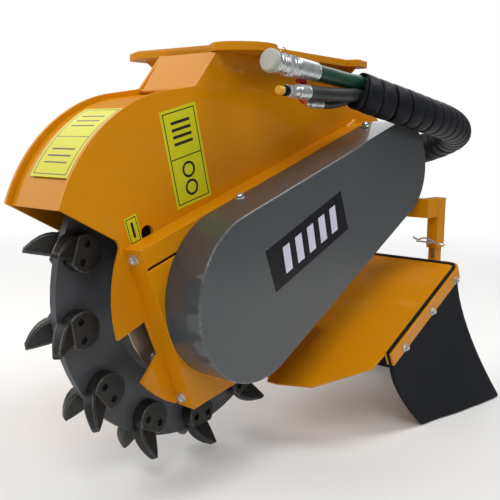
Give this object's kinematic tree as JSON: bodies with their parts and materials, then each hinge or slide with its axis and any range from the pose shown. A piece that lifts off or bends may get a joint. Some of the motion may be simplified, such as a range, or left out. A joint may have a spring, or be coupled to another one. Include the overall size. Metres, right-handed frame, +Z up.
{
  "type": "stump grinder",
  "caption": "Hydraulic stump grinder attachment: hooded toothed cutter disc, belt drive under a tapered cover, chip deck with rubber skirt, carrier plate and hoses.",
  "frame": {"origin": "on the carrier plate's top face, above the middle plane of the cutter disc", "axes": "+Z up out of the carrier plate, +X to the rear where the chip deck is, +Y away from the belt cover, along the rotor shaft"},
  "size_m": [1.0609, 0.4906, 0.7046],
  "materials": {
    "orange_paint": "gloss powder coat",
    "grey_paint": "satin powder coat",
    "disc_steel": "satin dark paint",
    "forged_steel": "black forged",
    "machined_steel": "turned",
    "cast_iron": "painted casting",
    "belt_rubber": "matt",
    "skirt_rubber": "matt sheet",
    "zinc_plate": "zinc plated",
    "hose_rubber": "smooth",
    "wrap_plastic": "satin spiral guard",
    "cap_plastic": "moulded"
  },
  "bodies": {
    "root": {"near_side_plate": "orange_paint", "far_side_plate": "orange_paint", "hood_sheet": "orange_paint", "neck_sheet": "orange_paint", "tail_sheet": "orange_paint", "carrier_plate": "orange_paint", "drive_housing": "orange_paint", "belt_cover": "grey_paint", "drive_belt": "belt_rubber", "hydraulic_motor": "cast_iron", "near_bearing": "cast_iron", "far_bearing": "cast_iron", "stay_bracket": "orange_paint", "pressure_hose": "hose_rubber", "return_hose": "hose_rubber", "drain_hose": "hose_rubber", "hose_wrap": "wrap_plastic", "pressure_coupler": "zinc_plate", "coupler_cap": "cap_plastic", "return_fitting": "zinc_plate", "drain_fitting": "zinc_plate"},
    "rotor": {"cutter_disc": "disc_steel", "disc_hub": "machined_steel", "clamp_ring": "machined_steel", "rotor_shaft": "machined_steel", "driven_pulley": "cast_iron", "tooth_pocket_01": "forged_steel", "tooth_pocket_02": "forged_steel", "tooth_pocket_03": "forged_steel", "tooth_pocket_04": "forged_steel", "tooth_pocket_05": "forged_steel", "tooth_pocket_06": "forged_steel", "tooth_pocket_07": "forged_steel", "tooth_pocket_08": "forged_steel", "tooth_pocket_09": "forged_steel", "tooth_pocket_10": "forged_steel", "tooth_pocket_11": "forged_steel", "tooth_pocket_12": "forged_steel", "tooth_pocket_13": "forged_steel", "cutting_tooth_01": "forged_steel", "cutting_tooth_02": "forged_steel", "cutting_tooth_03": "forged_steel", "cutting_tooth_04": "forged_steel", "cutting_tooth_05": "forged_steel", "cutting_tooth_06": "forged_steel", "cutting_tooth_07": "forged_steel", "cutting_tooth_08": "forged_steel", "cutting_tooth_09": "forged_steel", "cutting_tooth_10": "forged_steel", "cutting_tooth_11": "forged_steel", "cutting_tooth_12": "forged_steel", "cutting_tooth_13": "forged_steel"},
    "motor_drive": {"drive_pulley": "cast_iron"},
    "deck": {"chip_deck": "orange_paint", "rubber_skirt": "skirt_rubber", "clamp_strip": "orange_paint", "inner_stay": "orange_paint"},
    "pin": {"lock_pin": "zinc_plate"},
    "clip": {"pin_clip": "zinc_plate"}
  },
  "joints": [
    {"name": "disc_spin", "type": "hinge", "parent": "root", "child": "rotor", "pos_m": [-0.205, 0, -0.387], "axis": [0, 1, 0], "continuous": true},
    {"name": "motor_spin", "type": "hinge", "parent": "root", "child": "motor_drive", "pos_m": [0.2374, 0, -0.2087], "axis": [0, 1, 0], "continuous": true},
    {"name": "deck_height", "type": "slide", "parent": "root", "child": "deck", "axis": [0, 0, 1], "range_m": [-0.045, 0.03]},
    {"name": "pin_pull", "type": "slide", "parent": "root", "child": "pin", "axis": [1, 0, 0], "range_m": [0, 0.008]},
    {"name": "clip_pull", "type": "slide", "parent": "pin", "child": "clip", "axis": [0, 1, 0], "range_m": [-0.045, 0]}
  ],
  "couplings": [
    {"joint": "motor_spin", "follows": "disc_spin", "ratio": 1.6}
  ]
}
